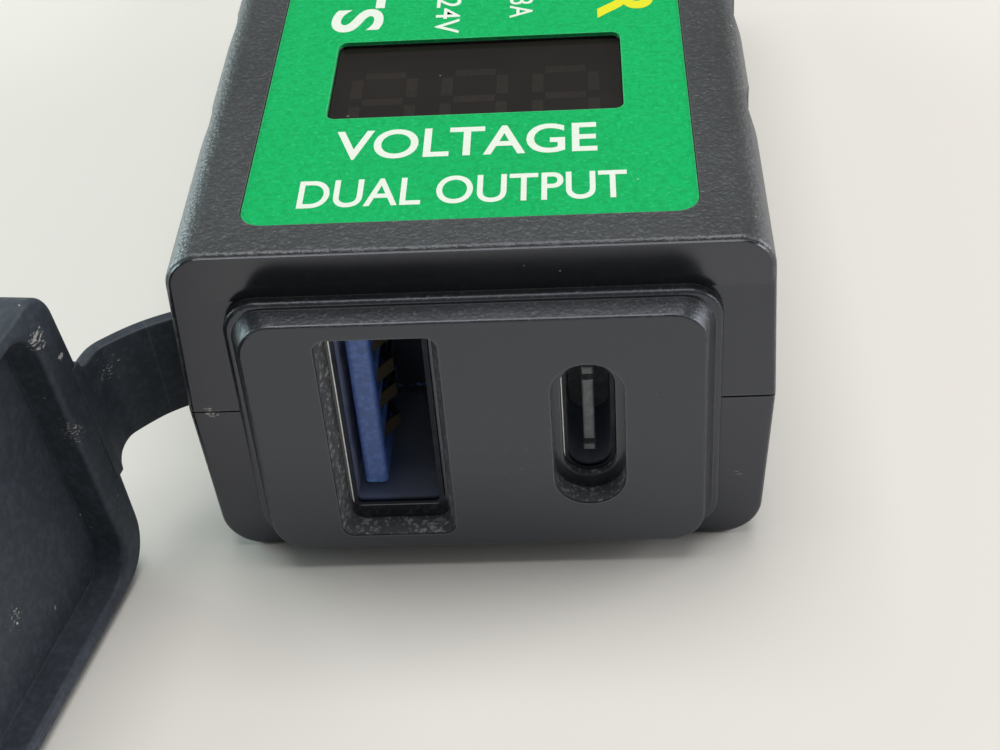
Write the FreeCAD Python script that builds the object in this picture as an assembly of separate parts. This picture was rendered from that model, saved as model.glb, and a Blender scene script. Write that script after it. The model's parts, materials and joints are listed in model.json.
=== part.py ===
import FreeCAD, Part
import math
import os

# Flat two-port vehicle charger with a voltage display, a clamshell case and a tethered rubber cap.
# Millimetres. +X is right, +Y is back (towards the supply plug), +Z is up. The shapes are drawn with
# the case's front face at y = 0 and its underside at z = 0; save() moves the front to -body_length / 2.

Vec = FreeCAD.Vector

# case
body_length = 66.0
height = 23.37
parting_z = 11.73
half_width = 17.63          # widest, at the parting line
upper_draft = math.tan(math.radians(2.06))
lower_draft = math.tan(math.radians(2.97))
top_corner = 2.2
bottom_corner = 2.65
end_round = 0.35
wall = 1.6
front_wall = 1.8
rear_wall = 2.2
parting_gap = 0.12
lip_thickness = 0.8
lip_height = 1.2
air = 0.05                  # slack between fixed pieces that sit in each other
inner_corner = 1.2
groove_depth = 0.45
around = 30.0               # reach of a cutting block past the case

# grip flutes in both side walls
flute_radius = 5.6
flute_depth = 1.7
flute_pitch = 11.8
flute_first_y = 15.4
flute_count = 4
flute_low_z = 4.6
flute_high_z = 19.6
flute_skin = 1.3
flute_lip_gap = 0.5

# port bezel, the nose on the front face
nose_out = 2.17
nose_bead = 0.7
nose_bead_up = 0.25         # the bead stands this far above the nose
nose_edge = 0.2
nose_base_half = 14.37
nose_half = 14.0
nose_front_half = 13.34
nose_top = 20.07
nose_bottom = 1.5
nose_corner = 2.1
neck_half = 12.9
neck_top = 18.9
neck_bottom = 2.6
gasket_thickness = 0.5
flange_grow = 0.9
flange_thickness = 1.1

# USB ports, both standing on edge
port_z = 10.79
port_a_z = 11.2             # the larger port's shell and tongue sit a little higher
port_a_x = -5.5
port_c_x = 6.48
pocket_depth = 1.58
pocket_taper = 0.5
c_pocket_depth = 1.42
a_pocket_x, a_pocket_z = 7.14, 15.87
c_pocket_x, c_pocket_z = 4.36, 11.2
a_shell_x, a_shell_z, a_shell_length = 5.72, 13.9, 14.0
a_shell_front = 1.28        # behind the nose's face
a_sheet = 0.3
a_tongue_x, a_tongue_z = 1.45, 12.0
a_tongue_side = 0.44        # between the tongue and the shell's left wall
c_shell_x, c_shell_z, c_shell_length = 3.16, 8.94, 8.6
c_shell_front = 1.85
c_sheet = 0.25
c_tongue_x, c_tongue_z = 0.7, 6.69
tongue_behind_face = 2.4

# label and display
label_half = 13.18
label_front_y = 2.8
label_back_y = 62.4
label_corner = 1.43
label_thickness = 0.25
label_recess = 0.33
window_half_x = 9.21
window_y0, window_y1 = 13.81, 23.04
lens_below_top = 0.5
lens_thickness = 0.9

# boards
board_half = 10.4
board_z0, board_z1 = 3.0, 4.2
board_y0, board_y1 = 3.9, 61.0
module_half_x, module_y0, module_y1 = 10.4, 13.3, 23.6
module_z0 = 15.3
display_board_z0, display_board_z1 = 13.9, 14.9
display_board_y1 = 30.0

# fasteners
screw_x = 13.6
screw_ys = (21.3, 56.7)
screw_shaft = 1.1
screw_thread_r = 0.98
screw_head = 2.1
screw_seat_z = 2.2
screw_slack = 0.15
top_post_r = 2.5
bottom_post_r = 3.0
post_gap = 0.4
board_screw_ys = (17.4, 57.6)
board_screw_x = 8.6
board_screw_r = 0.7
board_boss_r = 2.2

# supply plug, a flat two-pole connector
terminal_x = 4.75
terminal_r = 2.0
pin_root_r = 1.7
socket_bore = 2.05
plug_half_x, plug_half_z = 10.2, 5.2
plug_corner = 2.0
plug_block_y = 7.5
plug_z = parting_z
sleeve_r = 4.6
sleeve_length = 13.5
pin_length = 13.0

# rubber cap and its tether
cap_z0, cap_z1 = 0.34, 21.8
cap_gap = 0.1
cap_out = 4.1
cap_floor = 1.95
cap_mouth_round = 0.4
cap_rim_round = 0.35
cap_back_round = 1.0
cap_low_corner = 3.2
cap_high_corner = 2.2
cap_mouth_half = 14.9
tether_thickness = 0.8
tether_width = 6.9
tether_z = 11.5
swing_pivot = Vec(-18.25, 5.82, 0.0)
fold_pivot = Vec(-19.12, -0.6, parting_z)      # with the cap closed
fold_lean = Vec(-0.1042, 0.0590, 1.0)
swing_open = 44.0
fold_open = 59.35
fold_clearance = 0.95


def box(x0, x1, y0, y1, z0, z1):
    return Part.makeBox(x1 - x0, y1 - y0, z1 - z0, Vec(x0, y0, z0))


def rod_y(radius, x, z, y0, y1):
    return Part.makeCylinder(radius, y1 - y0, Vec(x, y0, z), Vec(0, 1, 0))


def rod_z(radius, x, y, z0, z1):
    return Part.makeCylinder(radius, z1 - z0, Vec(x, y, z0), Vec(0, 0, 1))


def round_edges(shape, radius, wanted):
    edges = [edge for edge in shape.Edges if wanted(edge)]
    return shape.makeFillet(radius, edges)


def along(edge, axis):
    first, last = edge.Vertexes[0].Point, edge.Vertexes[-1].Point
    run = last.sub(first)
    others = [abs(getattr(run, name)) for name in "xyz" if name != axis]
    return len(edge.Vertexes) == 2 and max(others) < 1e-3 and run.Length > 1e-3


def block_y(x0, x1, z0, z1, corner, y0, y1):
    """Block with its four edges along Y rounded."""
    return round_edges(box(x0, x1, y0, y1, z0, z1), corner, lambda edge: along(edge, "y"))


def block_z(x0, x1, y0, y1, corner, z0, z1):
    """Block with its four edges along Z rounded."""
    return round_edges(box(x0, x1, y0, y1, z0, z1), corner, lambda edge: along(edge, "z"))


def at_y(edge, y):
    return all(abs(vertex.Point.y - y) < 1e-4 for vertex in edge.Vertexes)


def group(shapes):
    return Part.makeCompound(shapes)


def fuse(first, *others):
    return first.fuse(list(others)).removeSplitter()


def half_at(z, inset=0.0):
    draft = upper_draft if z > parting_z else lower_draft
    return half_width - inset - abs(z - parting_z) * draft


def case_prism(y0, y1, z0, z1, inset=0.0, low_corner=bottom_corner, high_corner=top_corner):
    """The case's six-sided section between two heights, run along Y, with its corners rounded."""
    outline = [Vec(side * half_at(z, inset), y0, z)
               for side, z in ((-1, z0), (1, z0), (1, parting_z), (1, z1), (-1, z1), (-1, parting_z))]
    prism = Part.Face(Part.makePolygon(outline + outline[:1])).extrude(Vec(0, y1 - y0, 0))
    for corner, z in ((low_corner, z0), (high_corner, z1)):
        prism = round_edges(prism, corner, lambda e, z=z: along(e, "y") and abs(e.Vertexes[0].Point.z - z) < 1e-3)
    return prism


def flutes(grow=0.0):
    """Upright round-ended scoops along both side walls."""
    radius = flute_radius + grow
    scoops = []
    for side in (-1, 1):
        x = side * (half_at(parting_z) + flute_radius - flute_depth)
        for index in range(flute_count):
            y = flute_first_y + index * flute_pitch
            scoops.append(rod_z(radius, x, y, flute_low_z, flute_high_z))
            scoops.append(Part.makeSphere(radius, Vec(x, y, flute_low_z)))
            scoops.append(Part.makeSphere(radius, Vec(x, y, flute_high_z)))
    return scoops


def case_outer():
    prism = case_prism(0, body_length, 0, height)
    rounded = round_edges(prism, end_round, lambda edge: at_y(edge, 0) or at_y(edge, body_length))
    return rounded.cut(flutes())


def inner_block():
    return case_prism(front_wall, body_length - rear_wall, wall, height - wall, wall, inner_corner, inner_corner)


def case_cavity():
    return inner_block().cut(flutes(flute_skin))


def lip_ring(slack=0.0):
    """Ring that stands up from the bottom shell and fits inside the top one."""
    y0, y1 = front_wall - lip_thickness - slack, body_length - rear_wall + lip_thickness + slack
    z0, z1 = parting_z, parting_z + lip_height + slack
    edge = wall - lip_thickness - slack
    return box(-half_width + edge, half_width - edge, y0, y1, z0, z1).cut(inner_block())


def screw_posts(radius, z0, z1):
    return [rod_z(radius, x, y, z0, z1) for x, y in screw_places()]


def screw_places():
    return [(side * screw_x, y) for side in (-1, 1) for y in screw_ys]


def board_screw_places():
    return [(side * board_screw_x, y) for side in (-1, 1) for y in board_screw_ys]


def nose_opening():
    return block_y(-neck_half, neck_half, neck_bottom, neck_top, nose_corner, -1.0, front_wall + 0.5)


def tether_slot(grow):
    """Slot through the left wall for the tether's root."""
    x = half_at(parting_z)
    half_y, half_z = tether_thickness / 2 + grow, tether_width / 2 + grow
    return box(-x - 1, -x + wall + 1.6, swing_pivot.y - half_y, swing_pivot.y + half_y,
               tether_z - half_z, tether_z + half_z)


def plug_neck(shrink, y0, y1):
    half_x, half_z = plug_half_x - 1.2 - shrink, plug_half_z - 1.0 - shrink
    return block_y(-half_x, half_x, plug_z - half_z, plug_z + half_z, plug_corner, y0, y1)


def case_openings():
    rear = plug_neck(0, body_length - rear_wall - 1, body_length + 1)
    return [nose_opening(), tether_slot(air), rear]


def make_top_shell():
    posts = screw_posts(top_post_r, parting_z + post_gap, height - wall + 0.3)
    shell = case_outer().cut(case_cavity()).fuse(posts)
    shell = shell.common(box(-around, around, -around, body_length + around, parting_z, height + 1))
    lip_slot = lip_ring(air).cut(posts + flutes(flute_lip_gap - air))
    cuts = case_openings() + [lip_slot, label_blank(label_recess, air)]
    cuts += screw_posts(screw_thread_r, parting_z, height - 3.2)
    cuts.append(block_z(-window_half_x, window_half_x, window_y0, window_y1, 0.6, height - wall - 1, height + 1))
    return shell.cut(cuts).removeSplitter()


def make_bottom_shell():
    shell = case_outer().cut(case_cavity())
    shell = shell.common(box(-around, around, -around, body_length + around, -1, parting_z))
    ring = lip_ring().cut(screw_posts(top_post_r + air, parting_z, parting_z + 3) + flutes(flute_lip_gap))
    posts = [post.cut(flutes()) for post in screw_posts(bottom_post_r, wall - 0.3, parting_z + 0.3)]
    bosses = [rod_z(board_boss_r, x, y, wall - 0.3, board_z0) for x, y in board_screw_places()]
    shell = shell.fuse([ring] + posts + bosses)
    cuts = case_openings() + [parting_groove()]
    cuts += screw_posts(screw_shaft + screw_slack, -1, parting_z + 1)
    cuts += screw_posts(screw_head + screw_slack, -1, screw_seat_z)
    cuts += [rod_z(board_screw_r, x, y, 1.0, board_z0 + 1) for x, y in board_screw_places()]
    return shell.cut(cuts).removeSplitter()


def parting_groove():
    """Hairline all round the outside, where the two shells meet."""
    slab = box(-around, around, -around, body_length + around, parting_z - parting_gap, parting_z)
    skin = case_prism(-1, body_length + 1, -1, height, groove_depth)
    return slab.cut(skin.common(box(-around, around, groove_depth, body_length - groove_depth, -1, height)))


def nose_section(half, top, bottom, y0, y1):
    return block_y(-half, half, bottom, top, nose_corner, y0, y1)


def outline_wire(half, top, bottom, corner, y):
    """Rounded outline facing the front, for lofting."""
    solid = block_y(-half, half, bottom, top, corner, y, y + 1)
    faces = [face for face in solid.Faces if at_y_face(face, y)]
    return faces[0].OuterWire


def at_y_face(face, y):
    return abs(face.CenterOfMass.y - y) < 1e-4 and abs(face.normalAt(0, 0).y) > 0.9


def nose_loft():
    """Drafted front part of the bezel, from its bead to its face."""
    back = outline_wire(nose_half, nose_top - 0.1, nose_bottom + 0.1, nose_corner, -nose_bead + 0.2)
    front = outline_wire(nose_front_half, nose_top - 0.28, nose_bottom + 0.3, nose_corner, -nose_out)
    loft = Part.makeLoft([back, front], True, True)
    return round_edges(loft, nose_edge, lambda edge: at_y(edge, -nose_out))


def port_hole_a(grow=0.0):
    return block_y(port_a_x - a_shell_x / 2 - grow, port_a_x + a_shell_x / 2 + grow,
                   port_a_z - a_shell_z / 2 - grow, port_a_z + a_shell_z / 2 + grow, 0.6, -nose_out - 1, 8)


def port_hole_c(grow=0.0):
    half_x, half_z = c_shell_x / 2 + grow, c_shell_z / 2 + grow
    return block_y(port_c_x - half_x, port_c_x + half_x, port_z - half_z, port_z + half_z,
                   half_x - 0.01, -nose_out - 1, 8)


def pocket_a():
    """Pocket whose two long walls draw in towards its floor."""
    mouth, floor = [outline_wire(a_pocket_x / 2 - draw, port_z + a_pocket_z / 2, port_z - a_pocket_z / 2, 0.8, y)
                    for draw, y in ((0, -nose_out), (pocket_taper, -nose_out + pocket_depth))]
    hollow = fuse(Part.makeLoft([mouth, floor], True, True), Part.Face(mouth).extrude(Vec(0, -1, 0)))
    return hollow.translated(Vec(port_a_x, 0, 0))


def pocket_c():
    half_x, half_z = c_pocket_x / 2, c_pocket_z / 2
    return block_y(port_c_x - half_x, port_c_x + half_x, port_z - half_z, port_z + half_z, half_x - 0.01,
                   -nose_out - 1, -nose_out + c_pocket_depth)


def make_port_bezel():
    bead = nose_section(nose_base_half, nose_top + nose_bead_up, nose_bottom, -nose_bead, 0)
    bead = round_edges(bead, 0.3, lambda edge: at_y(edge, -nose_bead))
    neck = nose_section(neck_half - air, neck_top - air, neck_bottom + air, -0.3,
                        front_wall + gasket_thickness + flange_thickness)
    flange = nose_section(neck_half + flange_grow, neck_top + flange_grow, neck_bottom - flange_grow + 0.2,
                          front_wall + gasket_thickness, front_wall + gasket_thickness + flange_thickness)
    body = fuse(nose_loft(), bead, neck, flange)
    return body.cut([port_hole_a(air), port_hole_c(air), pocket_a(), pocket_c()]).removeSplitter()


def make_bezel_gasket():
    y0, y1 = front_wall, front_wall + gasket_thickness
    outer = nose_section(neck_half + flange_grow - 0.1, neck_top + flange_grow - 0.1,
                         neck_bottom - flange_grow + 0.3, y0, y1)
    return outer.cut(nose_section(neck_half, neck_top, neck_bottom, y0 - 1, y1 + 1))


def label_blank(depth, grow=0.0):
    return block_z(-label_half - grow, label_half + grow, label_front_y - grow, label_back_y + grow,
                   label_corner, height - depth, height + 1)


def make_face_label():
    z0 = height - label_recess
    sheet = block_z(-label_half, label_half, label_front_y, label_back_y, label_corner, z0, z0 + label_thickness)
    hole = block_z(-window_half_x, window_half_x, window_y0, window_y1, 0.6, z0 - 1, z0 + 1)
    return sheet.cut(hole)


def make_display_window():
    z1 = height - lens_below_top
    top = block_z(-window_half_x + air, window_half_x - air, window_y0 + air, window_y1 - air, 0.6,
                  z1 - lens_thickness, z1)
    return top


def make_display_module():
    z1 = height - wall - 0.25
    case = box(-module_half_x, module_half_x, module_y0, module_y1, module_z0, z1)
    return case.cut(digit_bars(z1 - 0.3, z1 + 1, air))


def digit_bars(z0, z1, grow=0.0):
    """Seven bars and a point for each of three digits."""
    pitch, tall, wide, thick = 5.9, 6.4, 3.6, 0.72
    middle_y = (window_y0 + window_y1) / 2
    bars = []
    for digit in (-1, 0, 1):
        x = digit * pitch - 0.3
        for level in (-1, 0, 1):
            y = middle_y + level * tall / 2
            bars.append(box(x - wide / 2 + 0.5 - grow, x + wide / 2 - 0.5 + grow,
                            y - thick / 2 - grow, y + thick / 2 + grow, z0, z1))
        for side in (-1, 1):
            for level in (-1, 1):
                y = middle_y + level * tall / 4
                reach = tall / 4 - 0.5
                bars.append(box(x + side * wide / 2 - thick / 2 - grow, x + side * wide / 2 + thick / 2 + grow,
                                y - reach - grow, y + reach + grow, z0, z1))
        bars.append(rod_z(0.45 + grow, x + wide / 2 + 1.0, middle_y - tall / 2, z0, z1))
    return bars


def make_display_digits():
    z1 = height - wall - 0.25
    return group(digit_bars(z1 - 0.3, z1))


def make_display_board():
    board = box(-board_half + 0.2, board_half - 0.2, module_y0, display_board_y1, display_board_z0, display_board_z1)
    return board.cut([pin_slot(x, y) for x, y in header_places()] + [pin_slot(x, y) for x, y in display_pin_places()])


def pin_slot(x, y):
    reach = 0.32 + air
    return box(x - reach, x + reach, y - reach, y + reach, display_board_z0 - 1, display_board_z1 + 1)


def display_pin_places():
    return [(index * 2.54 - 5.08, y) for index in range(5) for y in (module_y0 + 1.3, module_y1 - 1.3)]


def make_display_pins():
    return group([box(x - 0.25, x + 0.25, y - 0.25, y + 0.25, display_board_z0 - 1.2, module_z0)
                  for x, y in display_pin_places()])


def header_places():
    return [(index * 2.54 - 3.81, 28.2) for index in range(4)]


def make_board_header():
    bar = box(-5.3, 5.3, 27.0, 29.4, display_board_z0 - 2.5, display_board_z0)
    pins = [box(x - 0.32, x + 0.32, y - 0.32, y + 0.32, board_z0 - 0.6, display_board_z1 + 1.0)
            for x, y in header_places()]
    return fuse(bar, *pins)


def make_main_board():
    board = box(-board_half, board_half, board_y0, board_y1, board_z0, board_z1)
    cuts = [box(x - 0.37, x + 0.37, y - 0.37, y + 0.37, board_z0 - 1, board_z1 + 1) for x, y in header_places()]
    cuts += [rod_z(1.1, x, y, board_z0 - 1, board_z1 + 1) for x, y in board_screw_places()]
    cuts += [rod_z(1.05, side * terminal_x, wire_drop_y, board_z0 - 1, board_z1 + 1) for side in (-1, 1)]
    cuts += [box(port_c_x + side * 1.455 - 0.2, port_c_x + side * 1.455 + 0.2, y, y + 1.4, board_z0 - 1, board_z1 + 1)
             for side in (-1, 1) for y in c_leg_places]
    return board.cut(cuts)


def make_usb_a_shell():
    y0 = -nose_out + a_shell_front
    y1 = y0 + a_shell_length
    half_x, half_z = a_shell_x / 2, a_shell_z / 2
    outer = block_y(port_a_x - half_x, port_a_x + half_x, port_a_z - half_z, port_a_z + half_z, 0.6, y0, y1)
    inner = block_y(port_a_x - half_x + a_sheet, port_a_x + half_x - a_sheet, port_a_z - half_z + a_sheet,
                    port_a_z + half_z - a_sheet, 0.3, y0 - 1, y1 - a_sheet)
    slits = []
    for z in (port_a_z - 3.2, port_a_z + 3.2):
        frame = box(port_a_x - 5, port_a_x + 5, 5.0, 9.0, z - 1.3, z + 1.3)
        tab = box(port_a_x - 6, port_a_x + 6, 4.0, 8.7, z - 1.0, z + 1.0)
        slits.append(frame.cut(tab))
    return outer.cut(inner).cut(slits)


def a_tongue_left():
    return port_a_x - a_shell_x / 2 + a_sheet + a_tongue_side


def make_usb_a_tongue():
    y0 = -nose_out + tongue_behind_face
    x0 = a_tongue_left()
    tongue = box(x0, x0 + a_tongue_x, y0, 9.5, port_a_z - a_tongue_z / 2, port_a_z + a_tongue_z / 2)
    tongue = round_edges(tongue, 0.35, lambda edge: at_y(edge, y0) and along(edge, "z"))
    y1 = -nose_out + a_shell_front + a_shell_length - a_sheet - air
    inset = a_sheet + air
    base = block_y(port_a_x - a_shell_x / 2 + inset, port_a_x + a_shell_x / 2 - inset,
                   port_a_z - a_shell_z / 2 + inset, port_a_z + a_shell_z / 2 - inset, 0.4, 9.3, y1)
    plug = fuse(tongue, base)
    slots = [box(x0 + a_tongue_x - 0.35, x0 + a_tongue_x + 1, y0 + 0.9, 9.3, z - 0.65, z + 0.65)
             for z in a_contact_zs()]
    return plug.cut(slots)


def a_contact_zs():
    return [port_a_z + offset for offset in (-3.5, -1.0, 1.0, 3.5)]


def make_usb_a_contacts():
    """Four bowed strips that stand a little proud of the tongue."""
    x = a_tongue_left() + a_tongue_x - 0.35
    strips = []
    for z in a_contact_zs():
        line = [Vec(x + 0.02, 1.3, z - 0.5), Vec(x + 0.02, 2.2, z - 0.5), Vec(x + 0.95, 3.4, z - 0.5),
                Vec(x + 0.02, 5.2, z - 0.5), Vec(x + 0.02, 9.2, z - 0.5)]
        back = [point.add(Vec(0.2, 0, 0)) for point in reversed(line)]
        outline = Part.makePolygon(line + back + line[:1])
        strips.append(Part.Face(outline).extrude(Vec(0, 0, 1.0)))
    return group(strips)


c_leg_places = (4.4, 6.6)


def make_usb_c_shell():
    y0 = -nose_out + c_shell_front
    y1 = y0 + c_shell_length
    half_x, half_z = c_shell_x / 2, c_shell_z / 2
    outer = block_y(port_c_x - half_x, port_c_x + half_x, port_z - half_z, port_z + half_z, half_x - 0.01, y0, y1)
    hole_x, hole_z = half_x - c_sheet, half_z - c_sheet
    inner = block_y(port_c_x - hole_x, port_c_x + hole_x, port_z - hole_z, port_z + hole_z, hole_x - 0.01,
                    y0 - 1, y1 - c_sheet)
    legs = []
    for side in (-1, 1):
        x0 = port_c_x + side * 1.455 - 0.125
        legs += [box(x0, x0 + 0.25, y, y + 1.3, board_z0 - 0.5, port_z) for y in c_leg_places]
    return fuse(outer, *legs).cut(inner)


def make_usb_c_tongue():
    y0 = -nose_out + tongue_behind_face
    y1 = -nose_out + c_shell_front + c_shell_length - c_sheet - air
    tongue = box(port_c_x - c_tongue_x / 2, port_c_x + c_tongue_x / 2, y0, 5.2,
                 port_z - c_tongue_z / 2, port_z + c_tongue_z / 2)
    tongue = round_edges(tongue, 0.15, lambda edge: at_y(edge, y0))
    half_x, half_z = c_shell_x / 2 - c_sheet - air, c_shell_z / 2 - c_sheet - air
    base = block_y(port_c_x - half_x, port_c_x + half_x, port_z - half_z, port_z + half_z, half_x - 0.01, 5.0, y1)
    notches = [box(port_c_x - 1, port_c_x + 1, y0 - 1, y0 + 0.5, z - 0.25, z + 0.25)
               for z in (port_z - 2.6, port_z + 2.6)]
    return fuse(tongue, base).cut(notches + c_strips(air))


def c_strips(grow=0.0):
    y0 = -nose_out + tongue_behind_face + 0.7
    strips = []
    for side in (-1, 1):
        x = port_c_x + side * c_tongue_x / 2
        for index in range(12):
            z = port_z + (index - 5.5) * 0.5
            strips.append(box(x - 0.08 - grow, x + 0.08 + grow, y0 - grow, 4.9, z - 0.13 - grow, z + 0.13 + grow))
    return strips


def make_usb_c_contacts():
    side_by_side = [strip.common(box(port_c_x - c_tongue_x / 2, port_c_x + c_tongue_x / 2, -5, 20, 0, 30))
                    for strip in c_strips()]
    return group(side_by_side)


def make_port_stand():
    """Plastic rest that carries the smaller port above the board."""
    z1 = port_z - c_shell_z / 2 - air
    return box(port_c_x - 1.2, port_c_x + 1.2, 4.0, 8.1, board_z1, z1)


inductor_y = 36.5


def make_inductor_core():
    ring = rod_z(6.6, 0, inductor_y, board_z1 + 1.1, board_z1 + 6.1)
    ring = ring.cut(rod_z(3.3, 0, inductor_y, board_z1, board_z1 + 8))
    return round_edges(ring, 0.5, lambda edge: edge.Length > 10)


def make_inductor_winding():
    """Separate turns of wire around the ring core, with a gap where the two ends leave it."""
    turns = []
    wire = 0.42
    for index in range(9):
        angle = 20 + index * 37.65
        outer = box(2.35, 7.55, -wire, wire, board_z1 + 0.1, board_z1 + 7.1)
        outer = round_edges(outer, 0.8, lambda edge: along(edge, "y"))
        inner = box(3.22, 6.68, -1, 1, board_z1 + 1.02, board_z1 + 6.18)
        turn = outer.cut(inner)
        turn.rotate(Vec(0, 0, 0), Vec(0, 0, 1), angle)
        turn.translate(Vec(0, inductor_y, 0))
        turns.append(turn)
    return group(turns)


def capacitor(x, y, radius, tall):
    can = rod_z(radius, x, y, board_z1, board_z1 + tall)
    can = round_edges(can, 0.5, lambda edge: edge.Length > 6)
    ring = Part.makeTorus(radius + 0.15, 0.35, Vec(x, y, board_z1 + 1.6), Vec(0, 0, 1))
    return can.cut(ring)


def make_input_capacitor():
    return capacitor(-6.4, 49.4, 4.0, 11.5)


def make_output_capacitor():
    return capacitor(6.2, 46.4, 3.15, 9.5)


def chip(x, y, wide, deep, tall, pins, pitch):
    """Flat package with gull-wing legs along two sides."""
    body = box(x - wide / 2, x + wide / 2, y - deep / 2, y + deep / 2, board_z1 + 0.15, board_z1 + tall)
    legs = []
    for index in range(pins):
        z0 = board_z1
        leg_y = y + (index - (pins - 1) / 2) * pitch
        for side in (-1, 1):
            inner, outer = sorted((x + side * (wide / 2 - 0.2), x + side * (wide / 2 + 0.9)))
            legs.append(box(inner, outer, leg_y - 0.2, leg_y + 0.2, z0, z0 + 0.3))
    return fuse(body, *legs)


def make_converter_chip():
    return chip(0, 24.2, 4.0, 5.0, 1.6, 4, 1.27)


def make_port_controller():
    return chip(0, 17.0, 3.0, 3.4, 1.1, 4, 0.65)


def make_switch_transistors():
    return group([chip(-7.3, y, 4.2, 4.8, 1.2, 3, 1.5) for y in (21.8, 27.4)])


def make_ceramic_chips():
    places = [(-9.0 + 2.6 * index, 41.8) for index in range(2)] + [(9.2, 24.0 + 2.8 * index) for index in range(4)]
    places += [(4.6, 22.0 + 2.8 * index) for index in range(2)] + [(-3.0, 20.6), (3.0, 14.4), (-2.6, 14.4)]
    return group([box(x - 0.6, x + 0.6, y - 1.0, y + 1.0, board_z1, board_z1 + 0.9) for x, y in places])


def make_input_fuse():
    return box(-1.8, 2.4, 54.0, 57.4, board_z1, board_z1 + 2.2)


def make_surge_diode():
    barrel = rod_y(1.35, 8.9, board_z1 + 1.35, 50.4, 54.6)
    leads = rod_y(0.4, 8.9, board_z1 + 1.35, 49.9, 55.2)
    return fuse(barrel, leads)


wire_drop_y = 59.2
wire_r = 0.95


def supply_wire(x):
    """Insulated lead from a plug terminal, forward and down through the board."""
    bend = 2.2
    start = Vec(x, body_length - rear_wall - 1.6, plug_z)
    turn = Vec(x, wire_drop_y, plug_z)
    end = Vec(x, wire_drop_y, board_z0 - 0.3)
    enter, leave = turn.add(Vec(0, bend, 0)), turn.add(Vec(0, 0, -bend))
    middle = Vec(x, wire_drop_y + bend * (1 - math.sin(math.pi / 4)), plug_z - bend * (1 - math.sin(math.pi / 4)))
    path = Part.Wire([Part.LineSegment(start, enter).toShape(), Part.Arc(enter, middle, leave).toShape(),
                      Part.LineSegment(leave, end).toShape()])
    circle = Part.Wire(Part.makeCircle(wire_r, start, Vec(0, 1, 0)))
    return path.makePipeShell([circle], True, False)


def screw(x, y, z_head, shaft_r, head_r, head_tall, length):
    """Pan-head screw driven upwards, with a cross recess."""
    head = rod_z(head_r, x, y, z_head - head_tall, z_head)
    head = round_edges(head, 0.4, lambda e: e.Length > 5 and e.Vertexes[0].Point.z < z_head - head_tall + 0.01)
    shaft = rod_z(shaft_r, x, y, z_head - 0.1, z_head + length)
    slots = [box(x - a, x + a, y - b, y + b, z_head - head_tall - 1, z_head - head_tall + 0.8)
             for a, b in ((head_r * 0.55, 0.3), (0.3, head_r * 0.55))]
    return fuse(head, shaft).cut(slots)


def make_case_screws():
    return group([screw(x, y, screw_seat_z, screw_thread_r, screw_head, 1.7, 15.0) for x, y in screw_places()])


def make_board_screws():
    """Driven downwards, so each is a screw turned over."""
    screws = []
    for x, y in board_screw_places():
        one = screw(x, y, 0, board_screw_r, 1.7, 1.1, 2.7)
        one.rotate(Vec(x, y, 0), Vec(0, 1, 0), 180)
        one.translate(Vec(0, 0, board_z1))
        screws.append(one)
    return group(screws)


def make_plug_body():
    y0 = body_length
    block = block_y(-plug_half_x, plug_half_x, plug_z - plug_half_z, plug_z + plug_half_z, 2.6, y0, y0 + plug_block_y)
    block = round_edges(block, 0.8, lambda edge: at_y(edge, y0 + plug_block_y))
    neck = plug_neck(air, y0 - rear_wall - air, y0 + 0.5)
    flange = block_y(-plug_half_x, plug_half_x, plug_z - plug_half_z + 0.2, plug_z + plug_half_z - 0.2, plug_corner,
                     y0 - rear_wall - 1.5, y0 - rear_wall - air)
    sleeve = rod_y(sleeve_r, -terminal_x, plug_z, y0 + plug_block_y - 0.5, y0 + plug_block_y + sleeve_length)
    ribs = [block_y(-plug_half_x - 0.5, plug_half_x + 0.5, plug_z - 3.2, plug_z + 3.2, 1.0, y0 + y, y0 + y + 0.9)
            for y in (1.8, 3.6, 5.4)]
    body = fuse(block, neck, flange, sleeve, *ribs)
    back = y0 - rear_wall - 2.5
    holes = [rod_y(socket_bore + 0.65, -terminal_x, plug_z, back, y0 + plug_block_y + sleeve_length + 1),
             rod_y(pin_root_r + air, terminal_x, plug_z, back, y0 + plug_block_y + 1)]
    return body.cut(holes)


def make_plug_socket():
    y1 = body_length + plug_block_y + sleeve_length - 0.6
    tube = rod_y(socket_bore + 0.6, -terminal_x, plug_z, body_length - rear_wall - 1.5, y1)
    return tube.cut(rod_y(socket_bore, -terminal_x, plug_z, y1 - pin_length - 0.5, y1 + 1))


def make_plug_pin():
    """Pin with a thinner root that is held in the block."""
    y0 = body_length + plug_block_y + 0.2
    y1 = body_length + plug_block_y + pin_length
    pin = fuse(rod_y(terminal_r, terminal_x, plug_z, y0, y1),
               rod_y(pin_root_r, terminal_x, plug_z, body_length - rear_wall - 1.5, y0 + 1))
    return round_edges(pin, 0.7, lambda edge: at_y(edge, y1))


def strip_on_edge(centre, turn_deg, length, thickness, low, high):
    """Upright rubber strip that starts at centre and runs along its own X."""
    strip = box(0, length, -thickness / 2, thickness / 2, low, high)
    strip.rotate(Vec(0, 0, 0), Vec(0, 0, 1), turn_deg)
    strip.translate(Vec(centre.x, centre.y, 0))
    return strip


def make_tether_anchor():
    """Root of the tether: a tab through the wall with a barb behind it."""
    half_z = tether_width / 2
    x_wall = -half_at(parting_z) + wall
    y = swing_pivot.y
    tab = box(swing_pivot.x + 0.45, x_wall + 1.5, y - tether_thickness / 2, y + tether_thickness / 2,
              tether_z - half_z, tether_z + half_z)
    barb = box(x_wall + 0.3, x_wall + 1.5, y - 1.3, y + 1.3, tether_z - half_z, tether_z + half_z)
    return fuse(tab, barb)


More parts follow.
